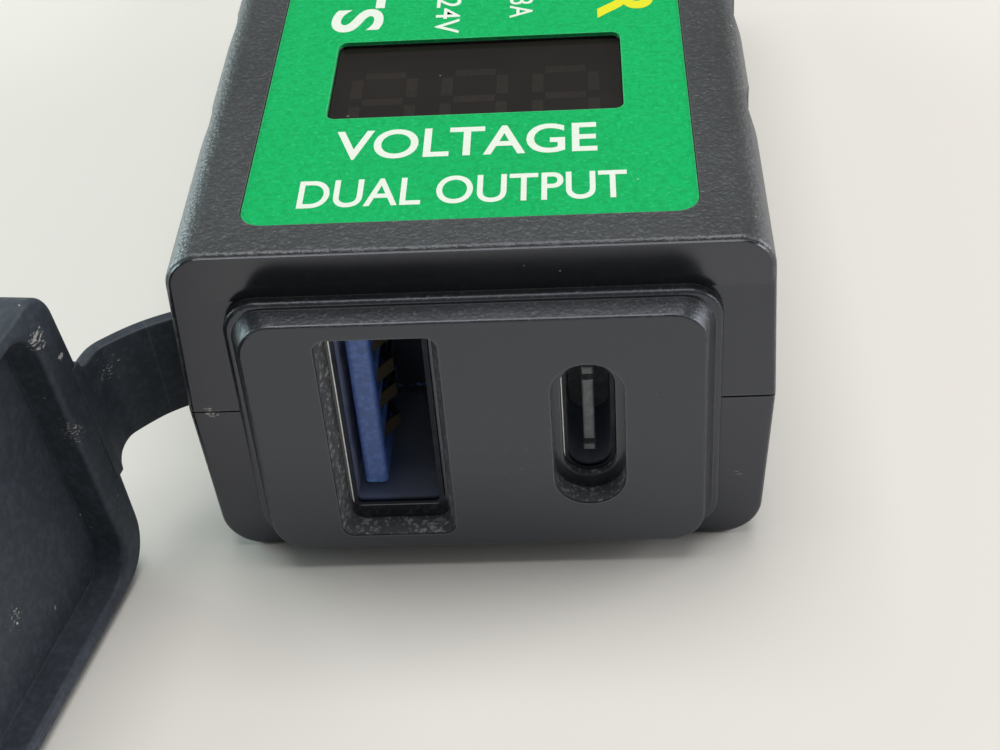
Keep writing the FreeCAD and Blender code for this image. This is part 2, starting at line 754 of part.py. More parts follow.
def make_tether_strap():
    """Link between the two places where the rubber bends, as it lies with the cap closed."""
    run = fold_pivot.sub(swing_pivot)
    length = math.hypot(run.x, run.y)
    turn = math.degrees(math.atan2(run.y, run.x))
    low, high = tether_z - tether_width / 2, tether_z + tether_width / 2
    link = strip_on_edge(swing_pivot, turn, length - 0.3, tether_thickness, low, high)
    root = rod_z(tether_thickness / 2, swing_pivot.x, swing_pivot.y, low, high)
    return fuse(link, root, fold_axis_rod(tether_thickness / 2, low, high))


def fold_axis_rod(radius, z0, z1):
    direction = Vec(fold_lean)
    direction.normalize()
    start = fold_pivot.add(direction * ((z0 - parting_z) / direction.z))
    return Part.makeCylinder(radius, (z1 - z0) / direction.z, start, direction)


def make_port_cover():
    """Soft cap in its closed place, with the strip that the tether grows out of."""
    y0, y1 = -cap_gap - cap_out, -cap_gap
    shell = case_prism(y0, y1, cap_z0, cap_z1, 0.0, cap_low_corner, cap_high_corner)
    shell = round_edges(shell, cap_back_round, lambda edge: at_y(edge, y0))
    shell = round_edges(shell, cap_rim_round, lambda edge: at_y(edge, y1))
    low, high = tether_z - tether_width / 2, tether_z + tether_width / 2
    strip = box(fold_pivot.x, -half_width + 1.2, y1 - tether_thickness, y1, low, high)
    shell = shell.cut(cap_recess())
    shell = round_edges(shell, cap_mouth_round, lambda edge: at_y(edge, y1) and in_mouth(edge))
    return fuse(shell, strip).cut(fold_axis_rod(fold_clearance, -5, 30))


def in_mouth(edge):
    """Whether an edge belongs to the hollow's rim."""
    return all(abs(vertex.Point.x) < cap_mouth_half + 0.05 and cap_z0 + 0.6 < vertex.Point.z < cap_z1 - 0.6
               for vertex in edge.Vertexes)


def cap_recess():
    """Drafted hollow that goes over the bezel."""
    mouth = outline_wire(cap_mouth_half, nose_top + 0.55, nose_bottom - 0.26, 2.4, -cap_gap)
    floor = outline_wire(cap_mouth_half - 0.15, nose_top + 0.35, nose_bottom - 0.15, 2.2,
                         -cap_gap - cap_out + cap_floor)
    return fuse(Part.makeLoft([mouth, floor], True, True), Part.Face(mouth).extrude(Vec(0, 1, 0)))


def open_cap(shape, with_fold):
    """Swings a piece drawn with the cap closed into the open rest position."""
    moved = shape.copy()
    if with_fold:
        moved.rotate(fold_pivot, fold_lean, -fold_open)
    moved.rotate(swing_pivot, Vec(0, 0, 1), -swing_open)
    return moved


def save(name, shape):
    placed = shape.copy()
    placed.translate(Vec(0, -body_length / 2, 0))
    placed.exportStep("parts/" + name + ".step")
    print("%-20s solids %2d volume %9.2f valid %s" % (name, len(placed.Solids), placed.Volume, placed.isValid()))


def print_joints():
    """Pivots and axes at rest, in the row's frame, in metres."""
    rest_fold = FreeCAD.Placement(Vec(0, 0, 0), FreeCAD.Rotation(Vec(0, 0, 1), -swing_open))
    pivot = rest_fold.multVec(fold_pivot.sub(swing_pivot)).add(swing_pivot)
    axis = rest_fold.multVec(fold_lean)
    axis.normalize()
    shift = Vec(0, -body_length / 2, 0)
    for name, point, line in (("tether_swing", swing_pivot, Vec(0, 0, 1)), ("cap_fold", pivot, axis)):
        place = point.add(shift)
        print("joint %s pos_m [%.6f, %.6f, %.6f] axis [%.6f, %.6f, %.6f]"
              % (name, place.x / 1000, place.y / 1000, place.z / 1000, line.x, line.y, line.z))


os.makedirs("parts", exist_ok=True)

save("top_shell", make_top_shell())
save("bottom_shell", make_bottom_shell())
save("port_bezel", make_port_bezel())
save("bezel_gasket", make_bezel_gasket())
save("face_label", make_face_label())
save("display_window", make_display_window())
save("display_module", make_display_module())
save("display_digits", make_display_digits())
save("display_pins", make_display_pins())
save("display_board", make_display_board())
save("board_header", make_board_header())
save("main_board", make_main_board())
save("usb_a_shell", make_usb_a_shell())
save("usb_a_tongue", make_usb_a_tongue())
save("usb_a_contacts", make_usb_a_contacts())
save("usb_c_shell", make_usb_c_shell())
save("usb_c_tongue", make_usb_c_tongue())
save("usb_c_contacts", make_usb_c_contacts())
save("port_stand", make_port_stand())
save("inductor_core", make_inductor_core())
save("inductor_winding", make_inductor_winding())
save("input_capacitor", make_input_capacitor())
save("output_capacitor", make_output_capacitor())
save("converter_chip", make_converter_chip())
save("port_controller", make_port_controller())
save("switch_transistors", make_switch_transistors())
save("ceramic_chips", make_ceramic_chips())
save("input_fuse", make_input_fuse())
save("surge_diode", make_surge_diode())
save("supply_wire_red", supply_wire(terminal_x))
save("supply_wire_black", supply_wire(-terminal_x))
save("case_screws", make_case_screws())
save("board_screws", make_board_screws())
save("plug_body", make_plug_body())
save("plug_socket", make_plug_socket())
save("plug_pin", make_plug_pin())
save("tether_anchor", make_tether_anchor())
save("tether_strap", open_cap(make_tether_strap(), False))
save("port_cover", open_cap(make_port_cover(), True))
print_joints()
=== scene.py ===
import bpy
import bmesh
import json
import math
from mathutils import Matrix, Vector


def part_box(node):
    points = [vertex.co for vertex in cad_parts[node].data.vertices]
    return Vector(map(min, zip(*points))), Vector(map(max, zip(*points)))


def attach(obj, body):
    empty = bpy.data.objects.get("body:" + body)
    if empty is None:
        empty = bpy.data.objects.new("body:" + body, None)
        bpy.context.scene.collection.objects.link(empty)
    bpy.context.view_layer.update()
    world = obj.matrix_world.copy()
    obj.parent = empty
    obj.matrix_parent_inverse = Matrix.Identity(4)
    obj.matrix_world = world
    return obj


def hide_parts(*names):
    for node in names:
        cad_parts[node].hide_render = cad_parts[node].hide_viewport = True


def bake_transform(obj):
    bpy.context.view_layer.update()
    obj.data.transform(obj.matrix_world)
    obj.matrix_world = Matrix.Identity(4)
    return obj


# Vehicle charger with a voltage display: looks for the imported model.
# Metres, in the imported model's own frame: +X right, +Y towards the supply plug, +Z up.

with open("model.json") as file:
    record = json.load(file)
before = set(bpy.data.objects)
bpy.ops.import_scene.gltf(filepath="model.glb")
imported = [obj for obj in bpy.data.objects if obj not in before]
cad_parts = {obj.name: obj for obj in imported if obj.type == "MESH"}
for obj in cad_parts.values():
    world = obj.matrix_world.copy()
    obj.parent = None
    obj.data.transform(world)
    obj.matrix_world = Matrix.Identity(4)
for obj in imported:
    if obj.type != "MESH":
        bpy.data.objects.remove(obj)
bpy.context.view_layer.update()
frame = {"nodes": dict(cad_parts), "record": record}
nodes = frame["nodes"]
mm = 0.001
print("frame loaded:", len(nodes), "nodes")


# small helpers for node trees

def addNode(tree, kind, inputs=None, **settings):
    node = tree.nodes.new(kind)
    for name, value in settings.items():
        setattr(node, name, value)
    for name, value in (inputs or {}).items():
        plug(tree, value, node.inputs[name])
    return node


def plug(tree, value, socket):
    if isinstance(value, bpy.types.NodeSocket):
        tree.links.new(value, socket)
    else:
        socket.default_value = value


def calc(tree, operation, first, second=0.0, clamp=False):
    node = addNode(tree, "ShaderNodeMath", operation=operation, use_clamp=clamp)
    plug(tree, first, node.inputs[0])
    plug(tree, second, node.inputs[1])
    return node.outputs[0]


def remap(tree, value, low, high, toLow=0.0, toHigh=1.0):
    # smooth step between two levels
    levels = {"Value": value, "From Min": low, "From Max": high, "To Min": toLow, "To Max": toHigh}
    node = addNode(tree, "ShaderNodeMapRange", levels, interpolation_type="SMOOTHSTEP")
    return node.outputs["Result"]


def mixColour(tree, factor, first, second, mode="MIX"):
    node = addNode(tree, "ShaderNodeMix", data_type="RGBA", blend_type=mode)
    plug(tree, factor, node.inputs[0])
    plug(tree, first, node.inputs[6])
    plug(tree, second, node.inputs[7])
    return node.outputs[2]


def rgb(r, g, b):
    return (r, g, b, 1.0)


def newGroup(name, inputs, outputs):
    group = bpy.data.node_groups.new(name, "ShaderNodeTree")
    for label, value in inputs.items():
        socket = group.interface.new_socket(label, in_out="INPUT", socket_type="NodeSocketFloat")
        socket.default_value = value
    for label in outputs:
        group.interface.new_socket(label, in_out="OUTPUT", socket_type="NodeSocketFloat")
    start = group.nodes.new("NodeGroupInput")
    end = group.nodes.new("NodeGroupOutput")
    return group, start.outputs, end.inputs


def useGroup(tree, group, **values):
    node = addNode(tree, "ShaderNodeGroup", node_tree=group)
    for label, value in values.items():
        plug(tree, value, node.inputs[label])
    return node.outputs


# surface effects shared by many materials

def buildSparkGrain():
    # fine spark-eroded mould texture, Grain is in cells per metre, Glint marks the bumps that get painted
    # glints
    group, given, out = newGroup("sparkGrain", {"Grain": 4000.0}, ["Height", "Glint"])
    place = addNode(group, "ShaderNodeTexCoord").outputs["Object"]
    fine = addNode(group, "ShaderNodeTexNoise", {"Vector": place, "Scale": given["Grain"], "Detail": 2.0,
                                                 "Roughness": 0.6})
    coarseScale = calc(group, "MULTIPLY", given["Grain"], 0.45)
    coarse = addNode(group, "ShaderNodeTexNoise", {"Vector": place, "Scale": coarseScale, "Detail": 1.0})
    cellScale = calc(group, "MULTIPLY", given["Grain"], 0.8)
    cells = addNode(group, "ShaderNodeTexVoronoi", {"Vector": place, "Scale": cellScale}, feature="F1")
    bumps = calc(group, "ADD", calc(group, "MULTIPLY", fine.outputs["Fac"], 0.6),
                 calc(group, "MULTIPLY", coarse.outputs["Fac"], 0.5))
    height = calc(group, "ADD", bumps, calc(group, "MULTIPLY", cells.outputs["Distance"], -0.25))
    plug(group, height, out["Height"])
    plug(group, remap(group, fine.outputs["Fac"], 0.58, 0.70), out["Glint"])
    return group


def buildHairScratches():
    # long thin contour lines of a stretched noise, kept only in patches
    group, given, out = newGroup("hairScratches", {"Scale": 120.0, "Width": 0.004, "Cover": 0.5, "Turn": 0.0},
                                 ["Mask"])
    place = addNode(group, "ShaderNodeTexCoord").outputs["Object"]
    turned = addNode(group, "ShaderNodeVectorRotate", {"Vector": place, "Axis": (0.3, 0.9, 0.4),
                                                       "Angle": given["Turn"]}, rotation_type="AXIS_ANGLE")
    stretched = addNode(group, "ShaderNodeVectorMath", {0: turned.outputs[0], 1: (1.0, 1.0, 0.22)},
                        operation="MULTIPLY")
    lines = addNode(group, "ShaderNodeTexNoise", {"Vector": stretched.outputs[0], "Scale": given["Scale"],
                                                  "Detail": 1.0})
    away = calc(group, "ABSOLUTE", calc(group, "SUBTRACT", lines.outputs["Fac"], 0.5))
    hair = calc(group, "SUBTRACT", 1.0, calc(group, "DIVIDE", away, given["Width"], clamp=True), clamp=True)
    patchScale = calc(group, "MULTIPLY", given["Scale"], 1.7)
    patches = addNode(group, "ShaderNodeTexNoise", {"Vector": place, "Scale": patchScale, "Detail": 2.0})
    edge = calc(group, "SUBTRACT", 1.0, given["Cover"])
    kept = remap(group, patches.outputs["Fac"], edge, calc(group, "ADD", edge, 0.12))
    plug(group, calc(group, "MULTIPLY", hair, kept), out["Mask"])
    return group


def buildDustSpecks():
    # scattered grains of dust with uneven sizes, Size is a share of the cell
    group, given, out = newGroup("dustSpecks", {"Scale": 900.0, "Size": 0.12, "Cover": 0.3}, ["Mask"])
    place = addNode(group, "ShaderNodeTexCoord").outputs["Object"]
    wobbleScale = calc(group, "MULTIPLY", given["Scale"], 2.5)
    wobble = addNode(group, "ShaderNodeTexNoise", {"Vector": place, "Scale": wobbleScale})
    bent = addNode(group, "ShaderNodeMix", data_type="VECTOR")
    bent.inputs[0].default_value = 0.0004
    plug(group, place, bent.inputs[4])
    plug(group, wobble.outputs["Color"], bent.inputs[5])
    cells = addNode(group, "ShaderNodeTexVoronoi", {"Vector": bent.outputs[1], "Scale": given["Scale"]})
    chance = addNode(group, "ShaderNodeSeparateColor", {"Color": cells.outputs["Color"]})
    chosen = calc(group, "LESS_THAN", chance.outputs[0], given["Cover"])
    reach = calc(group, "MULTIPLY", calc(group, "POWER", chance.outputs[1], 2.5), given["Size"])
    spot = calc(group, "LESS_THAN", cells.outputs["Distance"], reach)
    plug(group, calc(group, "MULTIPLY", spot, chosen), out["Mask"])
    return group


def buildHandling():
    # broad uneven sheen left by hands
    group, given, out = newGroup("handling", {"Scale": 60.0}, ["Value"])
    place = addNode(group, "ShaderNodeTexCoord").outputs["Object"]
    broad = addNode(group, "ShaderNodeTexNoise", {"Vector": place, "Scale": given["Scale"], "Detail": 4.0,
                                                  "Roughness": 0.62, "Distortion": 0.6})
    plug(group, remap(group, broad.outputs["Fac"], 0.35, 0.65), out["Value"])
    return group


def buildRubbedAndLitEdges():
    # bright where the surface turns sharply within Reach: rubbed wear and a painted edge highlight
    group, given, out = newGroup("rubbedAndLitEdges", {"Reach": 0.0002}, ["Mask"])
    soft = addNode(group, "ShaderNodeBevel", {"Radius": given["Reach"]}, samples=4)
    true = addNode(group, "ShaderNodeNewGeometry").outputs["Normal"]
    lean = addNode(group, "ShaderNodeVectorMath", {0: soft.outputs[0], 1: true}, operation="DOT_PRODUCT")
    plug(group, remap(group, lean.outputs["Value"], 0.985, 0.86), out["Mask"])
    return group


def buildScuff():
    # torn, streaky patch around one place, Reach is its radius
    group, given, out = newGroup("scuff", {"Reach": 0.001, "Scale": 1800.0, "Cover": 0.5}, ["Mask"])
    socket = group.interface.new_socket("Centre", in_out="INPUT", socket_type="NodeSocketVector")
    socket.default_value = (0, 0, 0)
    place = addNode(group, "ShaderNodeTexCoord").outputs["Object"]
    apart = addNode(group, "ShaderNodeVectorMath", {0: place, 1: given["Centre"]}, operation="DISTANCE")
    share = calc(group, "DIVIDE", apart.outputs["Value"], given["Reach"])
    near = calc(group, "SUBTRACT", 1.0, share, clamp=True)
    streaks = addNode(group, "ShaderNodeVectorMath", {0: place, 1: (1.0, 1.0, 2.2)}, operation="MULTIPLY")
    torn = addNode(group, "ShaderNodeTexNoise", {"Vector": streaks.outputs[0], "Scale": given["Scale"],
                                                 "Detail": 3.0, "Roughness": 0.7})
    level = calc(group, "ADD", torn.outputs["Fac"], calc(group, "MULTIPLY", near, 0.22))
    edge = calc(group, "SUBTRACT", 1.12, calc(group, "MULTIPLY", given["Cover"], 0.6))
    kept = remap(group, level, edge, calc(group, "ADD", edge, 0.05))
    inside = calc(group, "GREATER_THAN", near, 0.001)
    plug(group, calc(group, "MULTIPLY", kept, inside), out["Mask"])
    return group


def buildBand():
    # one where a coordinate lies between Low and High, soft over Soft
    group, given, out = newGroup("band", {"Value": 0.0, "Low": 0.0, "High": 1.0, "Soft": 0.00002}, ["Mask"])
    above = calc(group, "SUBTRACT", given["Value"], given["Low"])
    below = calc(group, "SUBTRACT", given["High"], given["Value"])
    rise = calc(group, "DIVIDE", above, given["Soft"], clamp=True)
    fall = calc(group, "DIVIDE", below, given["Soft"], clamp=True)
    plug(group, calc(group, "MULTIPLY", rise, fall), out["Mask"])
    return group


sparkGrain = buildSparkGrain()
scuff = buildScuff()
band = buildBand()
hairScratches = buildHairScratches()
dustSpecks = buildDustSpecks()
handling = buildHandling()
rubbedAndLitEdges = buildRubbedAndLitEdges()
print("surface effects ready")


# materials, one for each slot of the record

def newMaterial(name):
    material = bpy.data.materials.new(name)
    material.use_nodes = True
    tree = material.node_tree
    tree.nodes.clear()
    shader = addNode(tree, "ShaderNodeBsdfPrincipled")
    output = addNode(tree, "ShaderNodeOutputMaterial")
    tree.links.new(shader.outputs[0], output.inputs[0])
    return material, tree, shader


def bumpFrom(tree, height, distance, strength=1.0, normal=None):
    node = addNode(tree, "ShaderNodeBump", {"Height": height, "Distance": distance, "Strength": strength})
    if normal is not None:
        plug(tree, normal, node.inputs["Normal"])
    return node.outputs[0]


# colours that wear and dust bring to every piece, and the painted highlight on the port rims
wearAndRimHighlight = dict(dust=(0.55, 0.54, 0.5), torn=(0.42, 0.42, 0.40), metalDust=(0.4, 0.38, 0.34),
            paintedRimHighlight=(0.92, 0.92, 0.90))


def mouldedMaterial(name, look):
    # moulded plastic: eroded grain, hand sheen, hairlines, rubbed edges and dust
    material, tree, shader = newMaterial(name)
    grain = useGroup(tree, sparkGrain, Grain=look["grain"])
    sheen = useGroup(tree, handling, Scale=55.0)["Value"]
    hair = useGroup(tree, hairScratches, Scale=160.0, Width=0.0012, Cover=0.40, Turn=0.7)["Mask"]
    dust = useGroup(tree, dustSpecks, Scale=look.get("dustScale", 1500.0), Size=look.get("dustSize", 0.22),
                    Cover=look.get("dustCover", 0.04))["Mask"]
    edge = useGroup(tree, rubbedAndLitEdges, Reach=look.get("edgeReach", 0.00018))["Mask"]
    texture = look["texture"]
    frost = look.get("frostAmount", 0.0)
    if look.get("smoothEnds"):
        # the mould leaves the ends of the case smooth
        facing = addNode(tree, "ShaderNodeTexCoord").outputs["Normal"]
        part = addNode(tree, "ShaderNodeSeparateXYZ", {"Vector": facing})
        smooth = remap(tree, calc(tree, "ABSOLUTE", part.outputs["Y"]), 0.80, 0.97)
        frost = calc(tree, "MULTIPLY", frost, calc(tree, "SUBTRACT", 1.0, smooth))
        texture = calc(tree, "MULTIPLY", texture, calc(tree, "SUBTRACT", 1.0, smooth))
        rough = remap(tree, smooth, 0.0, 1.0, look["roughness"], look["endRoughness"])
    else:
        rough = look["roughness"]
    rough = calc(tree, "ADD", rough, calc(tree, "MULTIPLY", calc(tree, "SUBTRACT", sheen, 0.5), look["sheen"]))
    rough = calc(tree, "ADD", rough, calc(tree, "MULTIPLY", dust, 0.4))
    marks = 0.0
    for mark in look.get("marks", []):
        patch = useGroup(tree, scuff, Centre=[v * mm for v in mark["at"]], Reach=mark["reach"] * mm,
                         Scale=mark.get("scale", 1800.0), Cover=mark["cover"])["Mask"]
        marks = calc(tree, "MAXIMUM", marks, calc(tree, "MULTIPLY", patch, mark.get("amount", 1.0)))
    base, worn = look["colour"], look["worn"]
    colour = mixColour(tree, calc(tree, "MULTIPLY", sheen, 0.35), rgb(*base), rgb(*[v * 1.25 for v in base]))
    colour = mixColour(tree, frost, colour, rgb(*look.get("frost", base)))
    if look.get("pocketLight"):
        # painted light on the walls inside the port pockets: a lighter, speckled colour where light falls on
        # them
        pocketLight = look["pocketLight"]
        x, y, z = addNode(tree, "ShaderNodeSeparateXYZ",
                          {"Vector": addNode(tree, "ShaderNodeTexCoord").outputs["Object"]}).outputs
        inside = useGroup(tree, band, Value=y, Low=pocketLight["face"], High=pocketLight["face"] + pocketLight["depth"],
                          Soft=0.1 * mm)["Mask"]
        across = useGroup(tree, band, Value=x, Low=-pocketLight["half"], High=pocketLight["half"])["Mask"]
        upright = useGroup(tree, band, Value=z, Low=pocketLight["foot"], High=pocketLight["top"])["Mask"]
        inside = calc(tree, "MULTIPLY", calc(tree, "MULTIPLY", inside, across), upright)
        pocketLightSpecks = remap(tree, grain["Height"], 0.42, 0.62)
        pocketLightColour = mixColour(tree, pocketLightSpecks, rgb(*pocketLight["low"]), rgb(*pocketLight["high"]))
        colour = mixColour(tree, calc(tree, "MULTIPLY", inside, frost), colour, pocketLightColour)
    # painted shade and highlight of the grain: darker in its pits, lighter on its tops
    grainLightAndShade = remap(tree, grain["Height"], 0.3, 0.65, 0.82, 1.22)
    colour = mixColour(tree, 1.0, colour, grainLightAndShade, mode="MULTIPLY")
    if look.get("deep"):
        # painted shade: colour darkens deeper into the opening, and a ragged lighter line of burrs runs along
        # the foot
        depth = addNode(tree, "ShaderNodeSeparateXYZ",
                        {"Vector": addNode(tree, "ShaderNodeTexCoord").outputs["Object"]}).outputs
        sunk = remap(tree, depth[1], look["deep"]["start"], look["deep"]["end"])
        colour = mixColour(tree, sunk, colour, rgb(*look["deep"]["colour"]))
        lip = useGroup(tree, band, Value=depth[2], Low=look["deep"]["foot"] - 0.1 * mm,
                       High=look["deep"]["foot"] + 0.24 * mm, Soft=0.12 * mm)["Mask"]
        ragged = calc(tree, "MULTIPLY", lip, remap(tree, grain["Height"], 0.30, 0.50), clamp=True)
        colour = mixColour(tree, calc(tree, "MULTIPLY", ragged, 0.8), colour, rgb(*look["deep"]["lip"]))
    colour = mixColour(tree, calc(tree, "MULTIPLY", hair, look.get("hairAmount", 0.25)), colour, rgb(*worn))
    # lighter edges: rubbed wear and a painted edge highlight
    colour = mixColour(tree, calc(tree, "MULTIPLY", edge, look.get("edgeAmount", 0.3)), colour, rgb(*worn))
    dusted = calc(tree, "MULTIPLY", dust, 0.5)
    colour = mixColour(tree, dusted, colour, rgb(*wearAndRimHighlight["dust"]))
    # painted glints: lighter specks on the grain's peaks stand in for tiny highlights
    if look.get("glint"):
        glint = calc(tree, "MULTIPLY", calc(tree, "MULTIPLY", grain["Glint"], texture), look["glint"])
        colour = mixColour(tree, glint, colour, rgb(*look["worn"]))
    if look.get("marks"):
        colour = mixColour(tree, marks, colour, rgb(*wearAndRimHighlight["torn"]))
    height = calc(tree, "MULTIPLY", grain["Height"], texture)
    plug(tree, colour, shader.inputs["Base Color"])
    plug(tree, rough, shader.inputs["Roughness"])
    shader.inputs["Metallic"].default_value = look.get("metallic", 0.0)
    shader.inputs["Specular IOR Level"].default_value = look.get("specular", 0.5)
    shader.inputs["Specular Tint"].default_value = rgb(*look.get("tint", (1.0, 1.0, 1.0)))
    normal = bumpFrom(tree, height, look["depth"])
    if look.get("lean"):
        # the smooth end leans out a little above a height
        lean = look["lean"]
        z = addNode(tree, "ShaderNodeSeparateXYZ",
                    {"Vector": addNode(tree, "ShaderNodeTexCoord").outputs["Object"]}).outputs["Z"]
        rise = calc(tree, "MAXIMUM", calc(tree, "SUBTRACT", z, lean["above"]), 0.0)
        rise = calc(tree, "MULTIPLY", rise, math.tan(math.radians(lean["angle"])))
        rise = calc(tree, "MULTIPLY", rise, smooth)
        normal = bumpFrom(tree, rise, 1.0, normal=normal)
    plug(tree, normal, shader.inputs["Normal"])
    return material


def metalMaterial(name, look):
    # plated sheet: brushed along its length, tarnished in patches
    material, tree, shader = newMaterial(name)
    place = addNode(tree, "ShaderNodeTexCoord").outputs["Object"]
    drawn = addNode(tree, "ShaderNodeVectorMath", {0: place, 1: look["drawn"]}, operation="MULTIPLY")
    lines = addNode(tree, "ShaderNodeTexNoise", {"Vector": drawn.outputs[0], "Scale": 5000.0, "Detail": 2.0})
    patches = useGroup(tree, handling, Scale=look.get("patchScale", 260.0))["Value"]
    dust = useGroup(tree, dustSpecks, Scale=1500.0, Size=0.2, Cover=look.get("dustCover", 0.1))["Mask"]
    colour = mixColour(tree, calc(tree, "MULTIPLY", patches, 0.6), rgb(*look["colour"]), rgb(*look["tarnish"]))
    colour = mixColour(tree, calc(tree, "MULTIPLY", dust, 0.7), colour, rgb(*wearAndRimHighlight["metalDust"]))
    rough = calc(tree, "ADD", look["roughness"], calc(tree, "MULTIPLY", lines.outputs["Fac"], 0.15))
    rough = calc(tree, "ADD", rough, calc(tree, "MULTIPLY", patches, 0.12))
    if look.get("rim"):
        # painted highlight on the rim, brightest down its left side and along its lowest edge; behind the front
        # face the sheet turns lighter, painted light inside the shell
        rim = look["rim"]
        x, y, z = addNode(tree, "ShaderNodeSeparateXYZ", {"Vector": place}).outputs
        spare = 0.1 * mm
        face = useGroup(tree, band, Value=y, Low=rim["front"] - spare, High=rim["front"] + 0.07 * mm)["Mask"]
        side = useGroup(tree, band, Value=x, Low=rim["left"] - spare, High=rim["left"] + rim["width"])["Mask"]
        foot = useGroup(tree, band, Value=z, Low=rim["low"] - spare, High=rim["low"] + rim["footWidth"])["Mask"]
        bright = calc(tree, "MAXIMUM", side, calc(tree, "MULTIPLY", foot, rim["footAmount"]))
        # lighter metal from just behind the front face inward: painted light inside the shell
        hollow = remap(tree, y, rim["front"] + 0.12 * mm, rim["front"] + 0.5 * mm)
        colour = mixColour(tree, hollow, colour, rgb(*rim["hollow"]))
        uneven = calc(tree, "ADD", 0.55, calc(tree, "MULTIPLY", lines.outputs["Fac"], 0.6))
        bright = calc(tree, "MULTIPLY", calc(tree, "MULTIPLY", bright, face), uneven, clamp=True)
        colour = mixColour(tree, bright, colour, rgb(*wearAndRimHighlight["paintedRimHighlight"]))
    plug(tree, colour, shader.inputs["Base Color"])
    plug(tree, rough, shader.inputs["Roughness"])
    plug(tree, calc(tree, "SUBTRACT", 1.0, calc(tree, "MULTIPLY", dust, 0.9)), shader.inputs["Metallic"])
    plug(tree, bumpFrom(tree, lines.outputs["Fac"], look.get("depth", 0.000004)), shader.inputs["Normal"])
    return material


caseLook = dict(colour=(0.014, 0.015, 0.017), worn=(0.17, 0.175, 0.172), roughness=0.43, endRoughness=0.20,
                specular=1.0, tint=(0.84, 0.88, 1.0), frost=(0.028, 0.030, 0.028), frostAmount=1.0,
                grain=4300.0, texture=1.0, depth=0.000085, sheen=0.08, smoothEnds=True, hairAmount=0.16,
                edgeAmount=0.35,
                glint=0.25, dustCover=0.015, dustSize=0.16, lean=dict(above=20.1 * mm, angle=9.0),
                marks=[dict(at=(-16.3, -33.0, 11.65), reach=0.55, cover=0.84, scale=3600.0),
                       dict(at=(15.6, -33.0, 5.4), reach=0.9, cover=0.60, scale=3600.0, amount=0.5)])
bezelLook = dict(colour=(0.015, 0.0165, 0.019), worn=(0.20, 0.205, 0.205), roughness=0.40, endRoughness=0.20,
                 specular=1.0, tint=(0.82, 0.87, 1.0), frost=(0.010, 0.011, 0.012), frostAmount=1.0,
                 grain=4300.0, texture=1.0, depth=0.00003, sheen=0.08, smoothEnds=True, hairAmount=0.14,
                 edgeAmount=0.5, glint=0.25, dustCover=0.015, dustSize=0.16,
                 # painted light on the pocket walls, low and high are its darker and lighter specks
                 pocketLight=dict(face=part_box("port_bezel")[0][1] + 0.08 * mm, depth=9 * mm, half=11 * mm,
                             foot=2.3 * mm, top=19.3 * mm, low=(0.16, 0.165, 0.178),
                             high=(0.50, 0.515, 0.535)),
                 marks=[dict(at=(1.5, -35.17, 8.6), reach=4.6, cover=0.52, scale=2400.0, amount=0.07),
                        dict(at=(10.5, -35.17, 13.0), reach=4.0, cover=0.50, scale=2000.0, amount=0.06),
                        dict(at=(-11.0, -35.17, 9.0), reach=3.6, cover=0.48, scale=2400.0, amount=0.06)])
rubberLook = dict(colour=(0.040, 0.047, 0.060), worn=(0.13, 0.15, 0.17), roughness=0.50, specular=0.35,
                  tint=(0.78, 0.88, 1.0), grain=2600.0, texture=0.35, depth=0.00003, sheen=0.12,
                  hairAmount=0.2, edgeAmount=0.35, dustCover=0.04, dustScale=2200.0, dustSize=0.25,
                  marks=[dict(at=(-24.6, -35.0, 19.4), reach=1.0, cover=0.82, scale=2000.0),
                         dict(at=(-24.1, -33.8, 17.1), reach=0.34, cover=0.86, scale=2400.0),
                         dict(at=(-23.9, -35.7, 12.4), reach=1.7, cover=0.70, scale=3400.0),
                         dict(at=(-24.0, -36.8, 10.6), reach=1.5, cover=0.68, scale=3400.0),
                         dict(at=(-27.3, -43.8, 5.6), reach=1.5, cover=0.66, scale=3400.0),
                         dict(at=(-22.6, -31.0, 13.5), reach=2.4, cover=0.58, scale=3200.0)])
plugLook = dict(colour=(0.020, 0.021, 0.023), worn=(0.09, 0.09, 0.095), roughness=0.48, specular=0.8,
                grain=3000.0, texture=0.8, depth=0.00008, sheen=0.12)


def plainLook(colour, roughness, **more):
    look = dict(colour=colour, worn=tuple(min(1.0, v * 1.6 + 0.03) for v in colour), roughness=roughness,
                grain=3200.0, texture=0.4, depth=0.00002, sheen=0.12)
    look.update(more)
    return look


